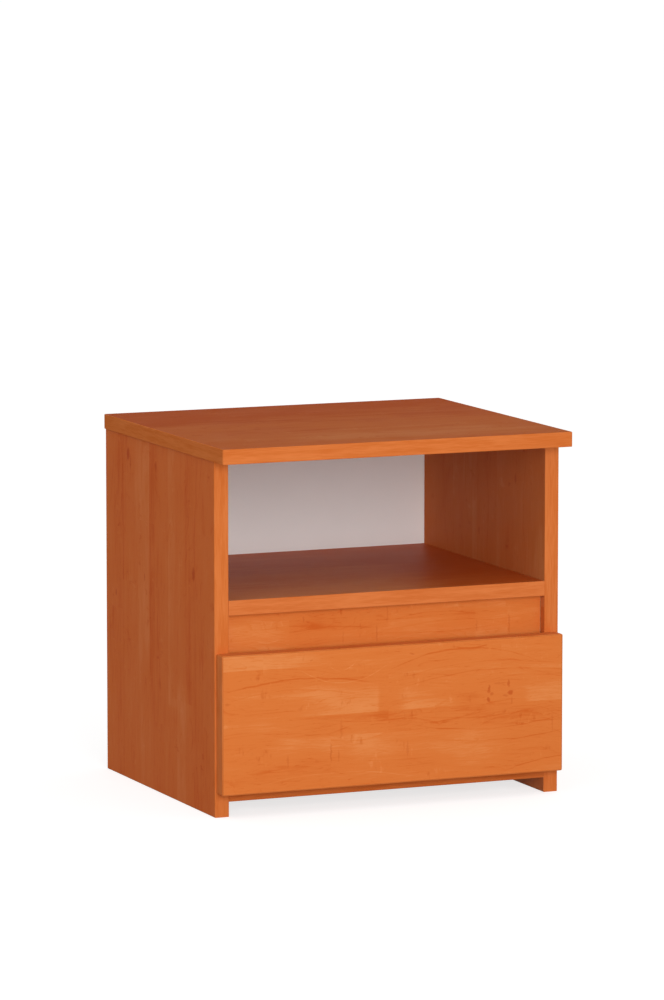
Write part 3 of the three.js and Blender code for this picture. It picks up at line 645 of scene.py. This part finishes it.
def nylon():
    """Moulded nylon, a little translucent."""
    made, g, shader = material("nylon")
    place, _ = object_axes(g)
    cloud = g.spots(place, NYLON_CLOUD, detail=4.0)
    g.feed(shader["Base Color"], g.mix(cloud, NYLON_DARK, NYLON_LIGHT))
    roughen(g, shader, cloud, least=0.42, spread=0.20)
    emboss(g, shader, cloud, depth=0.02, strength=0.4)
    shader["Subsurface Weight"].default_value = 0.15
    shader["Subsurface Radius"].default_value = NYLON_SCATTER
    return made


def zinc():
    """Cast or plated zinc, dull and cloudy."""
    made, g, shader = material("zinc")
    place, _ = object_axes(g)
    grain = g.spots(place, ZINC_GRAIN, detail=3.0, rough=0.6)
    cloud = g.spots(place, ZINC_CLOUD, detail=3.0)
    g.feed(shader["Base Color"], g.mix(cloud, ZINC_DARK, ZINC_LIGHT))
    roughen(g, shader, grain, least=0.25, spread=0.25)
    emboss(g, shader, grain, depth=0.03, strength=0.5)
    shader["Metallic"].default_value = 1.0
    return made


def beech():
    """Dowel wood, with its fibres along X."""
    made, g, shader = material("beech")
    place, _ = object_axes(g)
    fibre = g.spots(place, BEECH_FIBRE, detail=3.0, rough=0.6)
    g.feed(shader["Base Color"], g.mix(fibre, BEECH_DARK, BEECH_LIGHT))
    roughen(g, shader, fibre, least=0.55, spread=0.20)
    emboss(g, shader, fibre, depth=0.05, strength=0.6)
    return made


def dress(node, made):
    """The CAD node keeps its shape and takes this material."""
    slots = frame["nodes"][node].data.materials
    slots.clear()
    slots.append(made)


# Marks of the boards' print, and of painted light and shade, in mm along and across the grain.
# A patch is a lighter or darker stave, and on the top, the shelf and the right side also a stretch of painted
# light and shade:
# where it starts and ends, its fade at either end, its crisp edge, where it has faded out on the other side,
# and its strength.
# An arc is one growth line, and on the top one wide arc is a broad band of painted light: the place and
# height of its peak, its reach to either side, how far it drops there, its half width and its strength.
# A knot is a dark oval: its place, half its length and half its width, and its strength.
FIGURES_AND_PAINTED_LIGHT = {
    "drawer_front": (
        [(-230, -60, (1, 90), 156.5, 190, 0.34), (-150, -15, (90, 6), 103.7, 150, 0.42),
         (0, 92, (20, 50), 104, 152, 0.30), (148, 230, (12, 10), 102.8, 138, 0.28),
         (-160, 230, (90, 1), 103.4, 62, -0.12)],
        [(-105, 144, 95, 12, 1.8, -0.36), (-118, 133, 80, 11, 1.0, -0.20), (-58, 137, 55, -20, 1.1, 0.30),
         (-61, 150, 17, -9, 1.0, 0.28), (80, 165, 95, 22, 1.2, -0.28), (89, 165, 22, -3, 1.3, -0.40),
         (120, 141, 125, 17, 1.0, -0.26), (110, 150, 120, 17, 0.9, -0.20), (150, 133, 60, 9, 0.9, -0.20),
         (40, 70, 90, 10, 22, 0.14), (-70, 74, 75, 0, 24, 0.16), (120, 64, 90, -9, 1.1, -0.24),
         (110, 77, 90, -10, 1.1, -0.24), (95, 90, 70, -6, 0.9, -0.18), (-70, 42, 95, 11, 1.0, 0.24),
         (200, 42, 75, 14, 1.2, -0.28), (-150, 88, 60, 4, 1.0, -0.20), (-20, 94, 60, -5, 0.9, -0.20)],
        [(109.6, 119.5, 1.3, 3.6, 0.8), (108.6, 108.0, 1.8, 1.8, 0.9), (112.5, 114.0, 1.6, 1.4, 0.5),
         (134.8, 114.0, 2.6, 2.0, 0.9), (132.6, 124.5, 1.2, 3.6, 0.7), (128.5, 111.0, 2.4, 1.0, 0.4),
         (121.0, 125.0, 5.0, 1.0, 0.3), (136.5, 105.0, 1.0, 3.0, 0.35), (-73, 63, 0.9, 8, 0.4),
         (-61, 88, 1.1, 8, 0.25), (-64, 60, 0.8, 5, 0.3), (15, 62, 0.9, 7, 0.3), (-190, 122, 3, 1.0, 0.4),
         (-122, 57, 0.9, 6, 0.3), (20, 163, 2.2, 0.8, 0.5), (-95, 163, 1.2, 0.8, 0.4),
         (184, 78, 0.8, 8, 0.3)]),
    "front_rail": (
        [(-190, -92, (1, 40), 169, 225, 0.24), (-20, 110, (25, 60), 196, 168, 0.20),
         (-95, 10, (20, 10), 189, 225, -0.20), (104, 190, (3, 20), 169, 225, 0.14)],
        [(-134, 180, 12, -2, 0.9, 0.34), (-60, 193, 45, 4, 0.9, -0.24), (60, 202, 60, 8, 0.9, -0.24),
         (60, 180, 70, -5, 0.9, -0.22), (-110, 196, 40, 3, 0.9, -0.20), (130, 190, 40, -4, 0.9, -0.20)],
        [(-88, 200, 1.6, 0.8, 0.4), (-93, 202, 0.7, 3.0, 0.4), (-9, 183, 0.9, 7, 0.4), (3, 203, 0.8, 8, 0.3),
         (145, 184, 0.8, 9, 0.4), (107, 184, 0.8, 5, 0.3), (-48, 180, 0.7, 6, 0.25)]),
    # Top: painted shade darker towards the rear and at the rear left, and painted light at the front, from
    # the third patch and the wide arc; the narrow arcs and the knots are print.
    "top_panel": (
        [(-230, 230, (1, 1), 185, -70, -0.50), (-230, -20, (1, 90), 38, 120, -0.20),
         (-60, 230, (60, 1), -64, 30, 0.16)],
        [(40, -118, 150, 0, 66, 0.34), (-70, 60, 110, 9, 3.0, -0.24), (60, 20, 130, -8, 2.4, -0.22),
         (-100, -20, 90, 8, 2.2, -0.22), (20, -50, 130, 9, 2.4, -0.22), (-20, 110, 140, -10, 2.6, -0.22),
         (120, -100, 70, 6, 2.0, -0.20)],
        [(118, -58, 2.6, 1.6, 0.5), (-120, 70, 3.0, 1.8, 0.5)]),
    # Shelf: painted shade darker towards the rear and on the right, and painted light at the front left; the
    # arcs are print.
    "shelf_panel": (
        [(-230, 230, (1, 1), 180, -70, -0.55), (20, 230, (90, 1), -150, 420, -0.45),
         (-230, 90, (1, 110), -150, 30, 0.50)],
        [(-60, -60, 110, 8, 2.2, -0.24), (40, -20, 120, -8, 2.2, -0.22), (-20, 60, 130, 9, 2.6, -0.22)],
        []),
    # Right side: painted light at the lower front and painted shade at the upper rear of the niche, from the
    # first and third patches; the other patches, the arcs and the knots are print.
    "right_side_panel": (
        [(200, 300, (1, 70), -150, -50, 0.45), (200, 420, (1, 60), 30, 78, 0.22),
         (300, 420, (60, 1), 180, 60, -0.30), (200, 420, (60, 1), -22, -52, 0.20)],
        [(300, -90, 60, 9, 1.8, -0.26), (290, 0, 60, -9, 1.8, -0.24), (320, 60, 60, 9, 1.8, -0.24),
         (60, 40, 90, 10, 1.4, -0.22), (120, -70, 90, -9, 1.4, -0.22)],
        [(330, -70, 4.5, 2.0, 0.6), (262, 24, 3.6, 1.8, 0.5), (130, 90, 4.0, 1.6, 0.5)]),
    "left_side_panel": (
        [(120, 420, (45, 1), 42, 96, 0.30), (60, 420, (45, 1), 42, -16, -0.20),
         (95, 420, (8, 1), -13, -42, 0.26), (-10, 420, (1, 1), -62, -165, -0.12),
         (-10, 140, (1, 30), -38, -84, 0.24), (-10, 110, (1, 30), 70, 20, 0.20),
         (-10, 420, (1, 1), 118, 175, -0.12)],
        [(210, 20, 80, 9, 1.2, -0.22), (160, 12, 90, -10, 1.1, -0.20), (280, -88, 70, 12, 1.2, -0.24),
         (60, 100, 60, 9, 1.1, -0.22), (330, 122, 60, -8, 1.1, -0.22), (120, -110, 90, 8, 1.1, -0.20),
         (200, 139, 14, 4, 1.2, 0.26), (230, 54, 12, -5, 1.2, 0.26)],
        [(356, 104, 5.5, 3.6, 1.0), (348, 97, 7.0, 1.6, 0.5), (250, -86, 6.0, 3.4, 0.9),
         (228, 56, 3.4, 1.6, 0.6), (200, 142, 3.0, 1.8, 0.6), (118, 12, 5.0, 1.6, 0.5),
         (352, 22, 4.0, 2.4, 0.6)]),
}

# Each board's grain and thickness axis, its banded edges, its print's seed, its gloss and its painted shade,
# which darkens its faces or bands to stand in for shade
BOARDS = {
    # Painted shade: the top's faces darker and less yellow, for less light falling on them from above.
    "top_panel": dict(grain=X, thick=Z, banded=[(Y, LOW), (X, LOW), (X, HIGH)], seed=1.0, gloss=0.002,
                      painted_shade=(0.72, 0.64, 0.62, 1)),
    # Painted shade: the left side's faces darker and redder, as a side in shade.
    "left_side_panel": dict(grain=Z, thick=X, banded=[(Y, LOW)], seed=2.0, gloss=0.01,
                            painted_shade=(0.94, 0.81, 0.83, 1)),
    # Painted shade: the right side's faces darker, for the shade inside the niche.
    "right_side_panel": dict(grain=Z, thick=X, banded=[(Y, LOW)], seed=3.0, gloss=0.05,
                             painted_shade=(0.83, 0.84, 0.88, 1)),
    # Painted shade: the shelf's faces darker, for the shade inside the niche.
    "shelf_panel": dict(grain=X, thick=Z, banded=[(Y, LOW)], seed=4.0, gloss=0.10,
                        painted_shade=(0.83, 0.79, 0.74, 1)),
    # Painted shadow: the bottom panel's front band darker, for the drawer front's shadow over it.
    "bottom_panel": dict(grain=X, thick=Z, banded=[(Y, LOW)], seed=5.0, gloss=0.02,
                         band_painted_shade=(0.86, 0.79, 0.72, 1)),
    # Painted shade: the rail a little darker, for the shade under the shelf and behind the drawer front.
    "front_rail": dict(grain=X, thick=Y, banded=[], seed=6.0, gloss=0.04, painted_shade=(0.97, 0.95, 0.90, 1)),
    "drawer_front": dict(grain=X, thick=Y, banded=[(Z, LOW), (Z, HIGH), (X, LOW), (X, HIGH)], seed=7.0,
                         gloss=0.02),
    "drawer_left_side": dict(grain=Y, thick=X, banded=[(Z, HIGH)], seed=8.0, gloss=0.04),
    "drawer_right_side": dict(grain=Y, thick=X, banded=[(Z, HIGH)], seed=9.0, gloss=0.04),
    "drawer_back": dict(grain=X, thick=Y, banded=[(Z, HIGH)], seed=10.0, gloss=0.04),
}

DECOR, BAND, CHIPS = alder_decor(), band_decor(), chip_decor()
for name, look in BOARDS.items():
    dress(name, board_material(name, **look))
BACK_BOARD = hardboard_material("hardboard_back", Y, -1.0)
dress("back_sheet", BACK_BOARD)
dress("drawer_floor", hardboard_material("hardboard_floor", Z, 1.0))
PLAIN = {"coated_steel": coated_steel(), "nylon": nylon(), "zinc": zinc(), "beech": beech()}
for part in frame["record"]["subparts"]:
    if part["material_slot"] in PLAIN:
        dress(part["node"], PLAIN[part["material_slot"]])


def lathe(name, profile, sides):
    """A closed turned mesh about Z through (radius, height) pairs in mm, from one end of it to the other."""
    shape = bmesh.new()
    rings = []
    for radius, height in profile:
        turns = [2 * math.pi * n / sides for n in range(sides if radius else 1)]
        rings.append([shape.verts.new((radius * MM * math.cos(a), radius * MM * math.sin(a), height * MM))
                      for a in turns])
    for one, two in zip(rings, rings[1:]):
        for n in range(sides):
            after = (n + 1) % sides
            corners = [one[n % len(one)], one[after % len(one)], two[after % len(two)], two[n % len(two)]]
            shape.faces.new(list(dict.fromkeys(corners)))
    bmesh.ops.recalc_face_normals(shape, faces=shape.faces)
    return finished_mesh(name, shape)


def finished_mesh(name, shape):
    """The bmesh as a mesh. The bmesh goes."""
    mesh = bpy.data.meshes.new(name)
    shape.to_mesh(mesh)
    shape.free()
    return mesh


def block(name, size, centre):
    """A box as a mesh."""
    shape = bmesh.new()
    corners = bmesh.ops.create_cube(shape, size=1.0)["verts"]
    bmesh.ops.scale(shape, vec=size, verts=corners)
    bmesh.ops.translate(shape, vec=centre, verts=corners)
    return finished_mesh(name, shape)


def new_object(name, data):
    made = bpy.data.objects.new(name, data)
    bpy.context.scene.collection.objects.link(made)
    return made


def cut(target, cutter):
    """Takes the cutter away from the target's mesh. The cutter goes."""
    step = target.modifiers.new("cut", "BOOLEAN")
    step.operation = "DIFFERENCE"
    step.solver = "EXACT"
    step.object = cutter
    seen = target.evaluated_get(bpy.context.evaluated_depsgraph_get())
    mesh = bpy.data.meshes.new_from_object(seen)
    target.modifiers.clear()
    target.data = mesh
    bpy.data.objects.remove(cutter)


def even(low, high, count):
    return [low + (high - low) * n / (count - 1) for n in range(count)]


def turned_to(outward, spin):
    """Turns +Z to the outward direction, after a spin about it in degrees."""
    upright = Vector(outward).to_track_quat("Z", "Y").to_matrix().to_4x4()
    return upright @ Matrix.Rotation(math.radians(spin), 4, "Z")


def fasten(name, mesh, place, outward, spin, body):
    made = new_object(name, mesh)
    made.matrix_world = Matrix.Translation(place) @ turned_to(outward, spin)
    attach(made, body)


# Runner screws, mm: a low pan head with a cross, on the runner's web
SCREW_PROFILE = [(0, 0.85), (2.0, 0.85), (2.7, 0.7), (3.15, 0.4), (3.2, 0.0), (1.7, 0.0), (1.7, -2.0),
                 (1.5, -12.0), (0, -15.0)]
SCREW_SIDES = 32
CROSS_LENGTH, CROSS_WIDTH, CROSS_DEPTH = 3.4, 0.75, 0.55
SCREWS_PER_RUNNER = 3
SCREW_END_INSET = 37.0
CABINET_SCREW_HEIGHT = 10.5
DRAWER_SCREW_HEIGHT = 8.05
FIRST_SCREW_TURN = 17
NEXT_SCREW_TURN = 31
WEB_THICKNESS = 1.0


def screw_mesh():
    blank = new_object("screw_blank", lathe("screw_blank", SCREW_PROFILE, SCREW_SIDES))
    top = (0, 0, SCREW_PROFILE[0][1] * MM)
    for length, width in ((CROSS_LENGTH, CROSS_WIDTH), (CROSS_WIDTH, CROSS_LENGTH)):
        slot = block("cross", (length * MM, width * MM, 2 * CROSS_DEPTH * MM), top)
        cut(blank, new_object("cross", slot))
    mesh = blank.data
    bpy.data.objects.remove(blank)
    mesh.materials.append(PLAIN["zinc"])
    return mesh


def outermost(node):
    """How far the node's outer side lies from the middle of the chest."""
    return max(abs(corner.x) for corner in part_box(node))


def runner_screws():
    """Screws through each runner's web: a cabinet runner's look inward, and a drawer runner's outward."""
    mesh = screw_mesh()
    inset = SCREW_END_INSET * MM
    rows = (("cabinet", "carcass", CABINET_SCREW_HEIGHT), ("drawer", "drawer", DRAWER_SCREW_HEIGHT))
    for kind, body, lift in rows:
        for side, sign in (("left", -1), ("right", 1)):
            if kind == "cabinet":
                web, outward = outermost(f"{side}_cabinet_runner") - WEB_THICKNESS * MM, (-sign, 0, 0)
            else:
                web, outward = outermost(f"drawer_{side}_side") + WEB_THICKNESS * MM, (sign, 0, 0)
            low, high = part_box(f"{side}_{kind}_runner")
            for n, depth in enumerate(even(low.y + inset, high.y - inset, SCREWS_PER_RUNNER)):
                place = Vector((sign * web, depth, low.z + lift * MM))
                name = f"{side}_{kind}_runner_screw_{n + 1}"
                fasten(name, mesh, place, outward, FIRST_SCREW_TURN + NEXT_SCREW_TURN * n, body)


# Nails of the back sheet, mm: heads just under the sheet's face, each in its own dent
NAIL_SUNK = 0.15
NAIL_PROFILE = [(0, 0.0), (1.0, -0.03), (1.8, -0.12), (2.2, -0.35), (2.2, -0.6), (0.75, -0.9), (0.7, -16.0),
                (0, -18.0)]
DENT_PROFILE = [(0, 1.0), (3.3, 1.0), (3.3, 0.0), (2.9, -0.06), (2.5, -0.25), (2.4, -0.8), (0.8, -1.1),
                (0.8, -2.5), (0, -2.5)]
NAIL_SIDES = 24
NAIL_EDGE_INSET = 6.0
NAIL_END_INSET = 30.0
NAILS_DOWN_SIDES = 5
NAILS_ALONG_TOP = 4
NAILS_ALONG_SHELF = 3
NAIL_ROW_SHARE = 0.65
NEXT_NAIL_TURN = 15
REARWARD = (0, 1, 0)


def nail_places():
    """(x, z) of the back sheet's nails, over the boards' edges: down both sides, then along three panels."""
    low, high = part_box("back_sheet")
    aside, end = NAIL_EDGE_INSET * MM, NAIL_END_INSET * MM
    sides = [(x, z) for x in (low.x + aside, high.x - aside)
             for z in even(low.z + end, high.z - end, NAILS_DOWN_SIDES)]
    rows = []
    for board, count in (("top_panel", NAILS_ALONG_TOP), ("shelf_panel", NAILS_ALONG_SHELF),
                         ("bottom_panel", NAILS_ALONG_TOP)):
        under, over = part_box(board)
        height = (under.z + min(over.z, high.z)) / 2
        rows += [(x, height) for x in even(low.x * NAIL_ROW_SHARE, high.x * NAIL_ROW_SHARE, count)]
    return sides + rows


def nail_dents(rear):
    """The cutters of all the nails' dents as one object."""
    dent = lathe("dent", DENT_PROFILE, NAIL_SIDES)
    cutters = bmesh.new()
    for x, z in nail_places():
        copy = dent.copy()
        copy.transform(Matrix.Translation((x, rear, z)) @ turned_to(REARWARD, 0))
        cutters.from_mesh(copy)
    return new_object("dents", finished_mesh("dents", cutters))


def nailed_back():
    """The back sheet with the dents of its nails, in the CAD sheet's place, and the nails."""
    low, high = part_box("back_sheet")
    sheet = new_object("nailed_back_sheet", block("nailed_back_sheet", high - low, (low + high) / 2))
    cut(sheet, nail_dents(high.y))
    sheet.data.materials.clear()
    sheet.data.materials.append(BACK_BOARD)
    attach(sheet, "carcass")
    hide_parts("back_sheet")
    nail = lathe("nail", NAIL_PROFILE, NAIL_SIDES)
    nail.materials.append(PLAIN["zinc"])
    for n, (x, z) in enumerate(nail_places()):
        place = Vector((x, high.y - NAIL_SUNK * MM, z))
        fasten(f"back_nail_{n + 1:02d}", nail, place, REARWARD, NEXT_NAIL_TURN * n, "carcass")


runner_screws()
nailed_back()


def heading(yaw, pitch):
    """The direction of a look turned from +Y towards +X by the yaw and downward by the pitch."""
    yaw, pitch = math.radians(yaw), math.radians(pitch)
    return Vector((math.sin(yaw) * math.cos(pitch), math.cos(yaw) * math.cos(pitch), -math.sin(pitch)))


def aim(thing, place, direction):
    thing.location = place
    thing.rotation_mode = "QUATERNION"
    thing.rotation_quaternion = direction.to_track_quat("-Z", "Y")


def make_camera():
    lens = bpy.data.cameras.new("camera")
    lens.lens = CAMERA_LENS
    lens.sensor_width = SENSOR_WIDTH
    camera = new_object("camera", lens)
    aim(camera, CAMERA_PLACE, heading(CAMERA_YAW, CAMERA_PITCH))
    bpy.context.scene.camera = camera


def seen_as_background(g):
    """1 for the rays that show the background: the camera's, mirrored and refracted ones."""
    path = g.add("LightPath").outputs
    direct = g.math("MAXIMUM", path["Is Camera Ray"], path["Is Glossy Ray"])
    return g.math("MAXIMUM", direct, path["Is Transmission Ray"])


def make_world():
    """An even fill light, in front of a white background."""
    world = bpy.data.worlds.new("studio")
    world.use_nodes = True
    world.node_tree.nodes.clear()
    g = Graph(world.node_tree)
    glow = g.add("Background", Color=WHITE, Strength=g.blend(seen_as_background(g), FILL, BACKGROUND))
    g.feed(g.add("OutputWorld").inputs["Surface"], glow.outputs[0])
    bpy.context.scene.world = world


def make_key():
    lamp = bpy.data.lights.new("key", "AREA")
    lamp.shape = "RECTANGLE"
    lamp.size, lamp.size_y = KEY_SIZE
    lamp.energy = KEY_POWER
    centre = (Vector(CAD_BOX[0]) + Vector(CAD_BOX[1])) / 2
    beam = heading(KEY_YAW, KEY_PITCH)
    aim(new_object("key", lamp), centre - beam * KEY_DISTANCE, beam)


def make_floor():
    """A pale floor that keeps the shadow, glows to white where it is seen and is clear from below."""
    half = FLOOR_SIZE / 2
    mesh = bpy.data.meshes.new("floor")
    corners = [(-half, -half, 0), (half, -half, 0), (half, half, 0), (-half, half, 0)]
    mesh.from_pydata(corners, [], [(0, 1, 2, 3)])
    made, g = empty_material("floor")
    paper = g.add("BsdfDiffuse", Color=FLOOR_COLOUR).outputs[0]
    glow = g.add("Emission", Color=WHITE, Strength=g.math("MULTIPLY", seen_as_background(g), FLOOR_GLOW))
    both = g.add("AddShader")
    g.feed(both.inputs[0], paper)
    g.feed(both.inputs[1], glow.outputs[0])
    sides = g.add("MixShader", Fac=g.add("NewGeometry").outputs["Backfacing"])
    g.feed(sides.inputs[1], both.outputs[0])
    g.feed(sides.inputs[2], g.add("BsdfTransparent").outputs[0])
    g.feed(g.add("OutputMaterial").inputs["Surface"], sides.outputs[0])
    mesh.materials.append(made)
    new_object("floor", mesh)


make_camera()
make_world()
make_key()
make_floor()
bpy.context.scene.view_settings.view_transform = "Standard"
